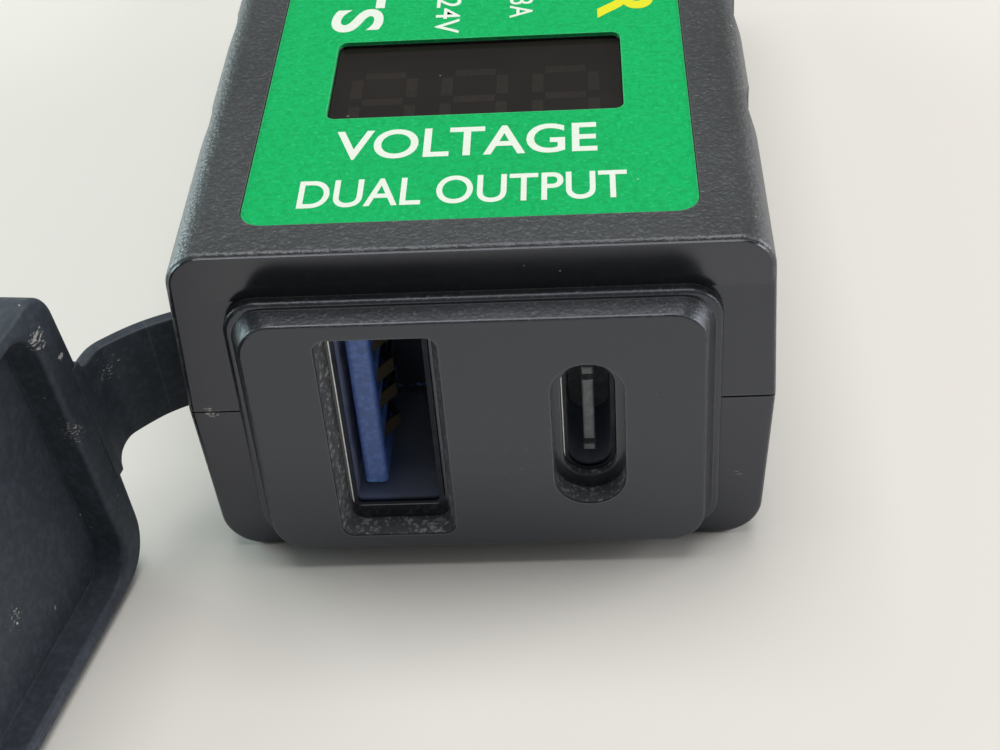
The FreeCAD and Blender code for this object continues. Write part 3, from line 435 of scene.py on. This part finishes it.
def labelMaterial():
    look = dict(colour=(0.0035, 0.45, 0.125), shade=(0.003, 0.39, 0.105), glint=(0.05, 0.66, 0.27),
                hollow=(0.002, 0.30, 0.07), worn=(0.25, 0.7, 0.4), dust=(0.7, 0.75, 0.65),
                roughness=0.36, specular=0.14, grain=3900.0, depth=0.00011)
    material, tree, shader = newMaterial("printedFilm")
    grain = useGroup(tree, sparkGrain, Grain=look["grain"])
    sheen = useGroup(tree, handling, Scale=70.0)["Value"]
    dust = useGroup(tree, dustSpecks, Scale=800.0, Size=0.13, Cover=0.06)["Mask"]
    edge = useGroup(tree, rubbedAndLitEdges, Reach=0.00015)["Mask"]
    colour = mixColour(tree, calc(tree, "MULTIPLY", sheen, 0.3), rgb(*look["colour"]), rgb(*look["shade"]))
    # painted glints on the film's grain
    colour = mixColour(tree, calc(tree, "MULTIPLY", grain["Glint"], 0.30), colour, rgb(*look["glint"]))
    # painted shade in the grain's pits
    colour = mixColour(tree, remap(tree, grain["Height"], 0.5, 0.25, 0.0, 0.45), colour, rgb(*look["hollow"]))
    # lighter edges: rubbed wear and a painted edge highlight
    colour = mixColour(tree, calc(tree, "MULTIPLY", edge, 0.35), colour, rgb(*look["worn"]))
    colour = mixColour(tree, calc(tree, "MULTIPLY", dust, 0.5), colour, rgb(*look["dust"]))
    rough = calc(tree, "ADD", look["roughness"], calc(tree, "MULTIPLY", sheen, 0.1))
    plug(tree, colour, shader.inputs["Base Color"])
    plug(tree, rough, shader.inputs["Roughness"])
    shader.inputs["Specular IOR Level"].default_value = look["specular"]
    plug(tree, bumpFrom(tree, grain["Height"], look["depth"]), shader.inputs["Normal"])
    return material


def inkMaterial(name, colour):
    # screen-printed ink: slightly uneven cover over the film's grain
    material, tree, shader = newMaterial(name)
    grain = useGroup(tree, sparkGrain, Grain=5200.0)
    cover = useGroup(tree, handling, Scale=900.0)["Value"]
    thin = (colour[0] * 0.6, colour[1] * 0.8, colour[2] * 0.6)    # where the film shows through
    shade = mixColour(tree, calc(tree, "MULTIPLY", cover, 0.12), rgb(*colour), rgb(*thin))
    plug(tree, shade, shader.inputs["Base Color"])
    plug(tree, calc(tree, "ADD", 0.42, calc(tree, "MULTIPLY", cover, 0.1)), shader.inputs["Roughness"])
    shader.inputs["Specular IOR Level"].default_value = 0.25
    plug(tree, bumpFrom(tree, grain["Height"], 0.00006), shader.inputs["Normal"])
    return material


def lensMaterial():
    look = dict(colour=(0.022, 0.018, 0.016), smear=(0.034, 0.028, 0.025), dust=(0.5, 0.5, 0.45),
                roughness=0.10, cover=0.60)
    material, tree, shader = newMaterial("smokedLens")
    smear = useGroup(tree, handling, Scale=120.0)["Value"]
    hair = useGroup(tree, hairScratches, Scale=260.0, Width=0.0012, Cover=0.42, Turn=0.4)["Mask"]
    dust = useGroup(tree, dustSpecks, Scale=900.0, Size=0.12, Cover=0.1)["Mask"]
    colour = mixColour(tree, calc(tree, "MULTIPLY", smear, 0.3), rgb(*look["colour"]), rgb(*look["smear"]))
    colour = mixColour(tree, calc(tree, "MULTIPLY", dust, 0.4), colour, rgb(*look["dust"]))
    rough = calc(tree, "ADD", look["roughness"], calc(tree, "MULTIPLY", smear, 0.12))
    plug(tree, colour, shader.inputs["Base Color"])
    plug(tree, calc(tree, "ADD", rough, calc(tree, "MULTIPLY", hair, 0.2)), shader.inputs["Roughness"])
    alpha = calc(tree, "ADD", look["cover"], calc(tree, "MULTIPLY", dust, 0.28), clamp=True)
    plug(tree, alpha, shader.inputs["Alpha"])
    return material


def rimOf(name, width, footWidth, footAmount):
    # where the painted highlight on a port shell's rim lies, and the painted light inside it
    low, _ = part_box(name)
    return dict(front=low[1], left=low[0], low=low[2], width=width * mm, footWidth=footWidth * mm,
                footAmount=footAmount, hollow=(0.62, 0.66, 0.75))


# painted shade deeper into the USB-A opening, and the burred foot of the tongue
tongueLow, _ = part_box("usb_a_tongue")
tongueShadeAndBurrs = dict(start=tongueLow[1] + 3.5 * mm, end=tongueLow[1] + 6.5 * mm, foot=5.2 * mm,
                   colour=(0.006, 0.009, 0.02), lip=(0.12, 0.36, 0.75))
slotMaterials = {
    "case": mouldedMaterial("casePlastic", caseLook),
    "bezel": mouldedMaterial("bezelPlastic", bezelLook),
    "seal": mouldedMaterial("sealRubber", plainLook((0.02, 0.02, 0.021), 0.7)),
    "label": labelMaterial(),
    "lens": lensMaterial(),
    "display_case": mouldedMaterial("displayCase", plainLook((0.012, 0.012, 0.012), 0.6)),
    "display_digits": mouldedMaterial("displayBars", plainLook((0.36, 0.32, 0.28), 0.6)),
    "tinned": metalMaterial("tinnedBrass", dict(colour=(0.62, 0.60, 0.56), tarnish=(0.42, 0.39, 0.34),
                                                roughness=0.28, drawn=(1, 0.08, 1))),
    "board": mouldedMaterial("solderMask", plainLook((0.012, 0.10, 0.04), 0.35)),
    "header": mouldedMaterial("headerBar", plainLook((0.02, 0.02, 0.02), 0.5)),
    "port_metal": metalMaterial("portSheet", dict(colour=(0.040, 0.045, 0.056), tarnish=(0.026, 0.03, 0.04),
                                                  roughness=0.40, drawn=(1, 0.06, 1), dustCover=0.03,
                                                  rim=rimOf("usb_a_shell", 0.08, 0.08, 0.30))),
    "port_metal_dark": metalMaterial("smallPortSheet", dict(colour=(0.040, 0.044, 0.052), dustCover=0.03,
                                                            tarnish=(0.026, 0.03, 0.036), roughness=0.38,
                                                            drawn=(1, 0.06, 1),
                                                            rim=rimOf("usb_c_shell", 0.08, 0.12, 0.9))),
    "blue_plastic": mouldedMaterial("blueTongue", plainLook((0.085, 0.165, 0.475), 0.36, depth=0.00003,
                                                            worn=(0.10, 0.24, 0.5), edgeAmount=0.5,
                                                            edgeReach=0.00012, deep=tongueShadeAndBurrs)),
    "contact_gold": metalMaterial("contactPlating", dict(colour=(0.34, 0.26, 0.14), tarnish=(0.12, 0.09, 0.06),
                                                         roughness=0.25, drawn=(1, 0.1, 1))),
    "black_plastic": mouldedMaterial("portInsert", plainLook((0.20, 0.21, 0.225), 0.45)),
    "ferrite": mouldedMaterial("coatedCore", plainLook((0.09, 0.09, 0.1), 0.6, texture=1.0)),
    "copper": metalMaterial("windingWire", dict(colour=(0.65, 0.27, 0.13), tarnish=(0.45, 0.17, 0.08),
                                                roughness=0.25, drawn=(1, 1, 0.1))),
    "can": metalMaterial("capacitorCan", dict(colour=(0.62, 0.63, 0.65), tarnish=(0.5, 0.5, 0.52),
                                              roughness=0.3, drawn=(1, 1, 0.08))),
    "chip_epoxy": mouldedMaterial("chipPackage", plainLook((0.02, 0.02, 0.022), 0.55)),
    "ceramic": mouldedMaterial("firedCeramic", plainLook((0.42, 0.30, 0.18), 0.45)),
    "fuse_body": mouldedMaterial("fuseBody", plainLook((0.55, 0.52, 0.40), 0.45)),
    "wire_red": mouldedMaterial("redInsulation", plainLook((0.42, 0.015, 0.015), 0.45)),
    "wire_black": mouldedMaterial("blackInsulation", plainLook((0.018, 0.018, 0.018), 0.45)),
    "screw_steel": metalMaterial("screwZinc", dict(colour=(0.55, 0.56, 0.58), tarnish=(0.38, 0.38, 0.38),
                                                   roughness=0.32, drawn=(1, 1, 0.2))),
    "plug_plastic": mouldedMaterial("plugPlastic", plugLook),
    "rubber_cap": mouldedMaterial("capRubber", rubberLook),
}

for row in frame["record"]["subparts"]:
    node = nodes[row["node"]]
    node.data.materials.clear()
    node.data.materials.append(slotMaterials[row["material_slot"]])
print("materials on", len(nodes), "nodes")


# printed lettering on the label

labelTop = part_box("face_label")[1].z
whiteInk = inkMaterial("whiteInk", (0.80, 0.84, 0.76))
yellowInk = inkMaterial("yellowInk", (0.80, 0.76, 0.02))
inkLook = dict(thickness=0.012 * mm, sunk=0.01 * mm)    # above and below the film

# words, ink, lowest and highest corner in millimetres, and whether the line runs down the label
lettering = [
    dict(words="VOLTAGE", ink=whiteInk, low=(-8.3, -23.80), high=(7.5, -20.65), bold=0.055),
    dict(words="DUAL OUTPUT", ink=whiteInk, low=(-10.0, -28.65), high=(9.15, -25.85), bold=0.04),
    dict(words="METER", ink=yellowInk, low=(7.8, -8.1), high=(11.6, 12.6), down=True, bold=0.09),
    dict(words="VOLTS", ink=whiteInk, low=(-10.0, -8.6), high=(-6.5, 12.2), down=True, bold=0.09),
    dict(words="IN 12-24V", ink=whiteInk, low=(-3.0, -9.3), high=(-1.35, 3.4), down=True, bold=0.02),
    dict(words="OUT 5V 3A", ink=whiteInk, low=(1.95, -7.6), high=(3.5, 4.2), down=True, bold=0.02),
]


def printWords(index, line):
    curve = bpy.data.curves.new("letters%d" % index, "FONT")
    curve.body = line["words"]
    curve.size = 1.0
    curve.offset = line["bold"] * 0.25
    curve.extrude = 0.001
    holder = bpy.data.objects.new("lettersHolder", curve)
    bpy.context.scene.collection.objects.link(holder)
    bpy.context.view_layer.update()
    mesh = bpy.data.meshes.new_from_object(holder)
    bpy.data.objects.remove(holder)
    if line.get("down"):
        mesh.transform(Matrix.Rotation(-math.pi / 2, 4, "Z"))
    xs = [v.co.x for v in mesh.vertices]
    ys = [v.co.y for v in mesh.vertices]
    (x0, y0), (x1, y1) = line["low"], line["high"]
    for v in mesh.vertices:
        v.co.x = (x0 + (v.co.x - min(xs)) / (max(xs) - min(xs)) * (x1 - x0)) * mm
        v.co.y = (y0 + (v.co.y - min(ys)) / (max(ys) - min(ys)) * (y1 - y0)) * mm
        v.co.z = labelTop + (inkLook["thickness"] if v.co.z > 0 else -inkLook["sunk"])
    mesh.materials.clear()
    mesh.materials.append(line["ink"])
    piece = bpy.data.objects.new("printedWords%d" % (index + 1), mesh)
    bpy.context.scene.collection.objects.link(piece)
    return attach(piece, "root")


for index, line in enumerate(lettering):
    printWords(index, line)
print("label printed")


# rubber strap of the cap, which bends at both of its ends

joints = {row["name"]: row for row in frame["record"]["behaviour"]["joints"]}
foldAt = Vector(joints["cap_fold"]["pos_m"])
closedLook = dict(swing=44.0, fold=59.35, lean=(-0.1042, 0.0590, 1.0))
capTurn = (Matrix.Rotation(-math.radians(closedLook["swing"]), 3, "Z")
           @ Matrix.Rotation(-math.radians(closedLook["fold"]), 3, Vector(closedLook["lean"]).normalized()))
strapLook = dict(thickness=0.9, edgeThickness=0.93, low=7.98, high=15.02, corner=0.16,
                 lowFlare=1.1, highFlare=0.7, flareReach=1.3, steps=10, rimInset=0.75, splitAt=-20.4,
                 rootHold=4, capHold=9,    # ring counts for the wall end and the cap end
                 bends=[(-17.15, -27.22), (-18.3, -27.45), (-19.5, -27.95), (-20.8, -28.7),
                        (-22.1, -29.75), (-23.0, -30.7)],
                 intoCap=(0.75, 1.55, 2.3))


def strapPath():
    # middle line from inside the wall, round to the cap's rim, in metres
    edge = [foldAt + capTurn @ (Vector((x, 0.1, 0.0)) * mm) for x in strapLook["intoCap"]]
    return [Vector((x * mm, y * mm, foldAt.z)) for x, y in strapLook["bends"]] + edge


def smoothed(points, steps):
    # a curve through the points
    padded = [points[0] * 2 - points[1]] + points + [points[-1] * 2 - points[-2]]
    line = []
    for a, b, c, d in zip(padded, padded[1:], padded[2:], padded[3:]):
        for step in range(steps):
            t = step / steps
            line.append(0.5 * (2 * b + (c - a) * t + (2 * a - 5 * b + 4 * c - d) * t * t
                               + (3 * b - a - 3 * c + d) * t ** 3))
    return line + [points[-1]]


def strapSection(half, low, high):
    # rounded upright rectangle as pairs of sideways and upward offsets
    corner = strapLook["corner"]
    pairs = []
    for side, end, first in ((1, high, 0), (-1, high, 90), (-1, low, 180), (1, low, 270)):
        middle = (side * (half - corner), end - corner if end == high else end + corner)
        for turn in (first, first + 30, first + 60, first + 90):
            angle = math.radians(turn)
            pairs.append((middle[0] + corner * math.cos(angle), middle[1] + corner * math.sin(angle)))
    return pairs


def flare(away, reach):
    # quarter-round spread as the strap comes within reach of the cap's rim
    near = min(1.0, max(0.0, 1.0 - away / reach))
    return 1.0 - math.sqrt(1.0 - near ** 2)


def makeStrap():
    # middle line, one ring of points for each of its places, and the ring where the two pieces meet
    line = smoothed(strapPath(), strapLook["steps"])
    lengths = [0.0]
    for a, b in zip(line, line[1:]):
        lengths.append(lengths[-1] + (b - a).length / mm)
    rimAt = lengths[-1] - strapLook["rimInset"]
    middle = foldAt.z / mm
    wide = []
    for index, place in enumerate(line):
        ahead = line[min(index + 1, len(line) - 1)] - line[max(index - 1, 0)]
        share = min(1.0, lengths[index] / rimAt)
        share = share * share * (3 - 2 * share)
        up = (Vector((0, 0, 1)).lerp(capTurn @ Vector((0, 0, 1)), share)).normalized()
        out = ahead.cross(up).normalized()
        spread = flare(rimAt - lengths[index], strapLook["flareReach"])
        spreadTop = flare(rimAt - lengths[index], strapLook["highFlare"])
        half = (strapLook["thickness"] * (1 - share) + strapLook["edgeThickness"] * share) / 2
        low = strapLook["low"] - middle - spread * strapLook["lowFlare"]
        high = strapLook["high"] - middle + spreadTop * strapLook["highFlare"]
        wide.append([place + (out * s + up * h) * mm for s, h in strapSection(half, low, high)])
    split = min(range(len(line)), key=lambda i: abs(line[i].x / mm - strapLook["splitAt"]))
    return line, wide, split


def strapPiece(name, rings):
    mesh = bpy.data.meshes.new(name)
    bm = bmesh.new()
    loops = [[bm.verts.new(point) for point in ring] for ring in rings]
    count = len(loops[0])
    for first, second in zip(loops, loops[1:]):
        for index in range(count):
            after = (index + 1) % count
            bm.faces.new((first[index], first[after], second[after], second[index]))
    for face in bm.faces:
        face.smooth = True
    for end in (loops[0][::-1], loops[-1]):
        for edge in bm.faces.new(end).edges:
            edge.smooth = False
    bmesh.ops.recalc_face_normals(bm, faces=bm.faces)
    bm.to_mesh(mesh)
    bm.free()
    mesh.materials.append(slotMaterials["rubber_cap"])
    piece = bpy.data.objects.new(name, mesh)
    bpy.context.scene.collection.objects.link(piece)
    return piece


strapLine, strapRings, strapSplit = makeStrap()
strapRoot = strapPiece("strapRoot", strapRings[:strapSplit + 1])
strapEnd = strapPiece("strapEnd", strapRings[strapSplit:])
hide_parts("tether_strap")
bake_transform(strapRoot)
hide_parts("tether_strap")
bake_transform(strapEnd)
print("strap made")


# floor, lights and camera

def makeFloor():
    look = dict(half=1.2, colour=(0.80, 0.775, 0.735), handled=(0.77, 0.75, 0.715), roughness=0.55)
    mesh = bpy.data.meshes.new("tableTop")
    bm = bmesh.new()
    bmesh.ops.create_grid(bm, x_segments=8, y_segments=8, size=look["half"])
    bm.to_mesh(mesh)
    bm.free()
    floor = bpy.data.objects.new("tableTop", mesh)
    bpy.context.scene.collection.objects.link(floor)
    material, tree, shader = newMaterial("paleTable")
    sheen = useGroup(tree, handling, Scale=12.0)["Value"]
    colour = mixColour(tree, calc(tree, "MULTIPLY", sheen, 0.08), rgb(*look["colour"]), rgb(*look["handled"]))
    plug(tree, colour, shader.inputs["Base Color"])
    rough = calc(tree, "ADD", look["roughness"], calc(tree, "MULTIPLY", sheen, 0.06))
    plug(tree, rough, shader.inputs["Roughness"])
    mesh.materials.append(material)


def aimed(place, target):
    return (Vector(target) - Vector(place)).to_track_quat("-Z", "Y").to_matrix().to_4x4()


def softLight(name, place, target, size, watts, colour=(1, 1, 1)):
    lamp = bpy.data.lights.new(name, "AREA")
    lamp.shape = "RECTANGLE"
    lamp.size, lamp.size_y = size
    lamp.energy = watts
    lamp.color = colour
    holder = bpy.data.objects.new(name, lamp)
    holder.matrix_world = Matrix.Translation(place) @ aimed(place, target)
    bpy.context.scene.collection.objects.link(holder)
    return holder


lights = [
    dict(name="overhead", place=(0.02, 0.14, 0.90), target=(0, 0, 0), size=(0.75, 0.6), watts=6.1,
         colour=(1.0, 0.985, 0.95)),
    dict(name="leftFill", place=(-0.55, 0.20, 0.12), target=(0, 0, 0.01), size=(0.5, 0.3), watts=3.4,
         colour=(0.80, 1.0, 0.97)),
    dict(name="rightFill", place=(0.55, 0.12, 0.20), target=(0, 0, 0.01), size=(0.4, 0.3), watts=2.4),
]
for light in lights:
    softLight(**light)

studioLight = dict(colour=(0.92, 0.94, 0.95), strength=0.22)
world = bpy.data.worlds.new("studio")
bpy.context.scene.world = world
world.use_nodes = True
backdrop = world.node_tree.nodes["Background"].inputs
backdrop["Color"].default_value = rgb(*studioLight["colour"])
backdrop["Strength"].default_value = studioLight["strength"]

makeFloor()

cameraView = dict(place=(0.0072105, -0.1098463, 0.0805233), turn=4.356591, tip=49.170945, roll=-4.603836,
                  lens=62.18075)
cameraData = bpy.data.cameras.new("camera")
cameraData.lens = cameraView["lens"]
cameraData.sensor_width = 36.0
cameraData.clip_start = 0.005
cameraData.clip_end = 20.0
camera = bpy.data.objects.new("camera", cameraData)
camera.matrix_world = (Matrix.Translation(cameraView["place"])
                       @ Matrix.Rotation(math.radians(cameraView["turn"]), 4, "Z")
                       @ Matrix.Rotation(math.radians(cameraView["tip"]), 4, "X")
                       @ Matrix.Rotation(math.radians(cameraView["roll"]), 4, "Z"))
bpy.context.scene.collection.objects.link(camera)
bpy.context.scene.camera = camera
bpy.context.scene.view_settings.view_transform = "Standard"
print("stage ready")
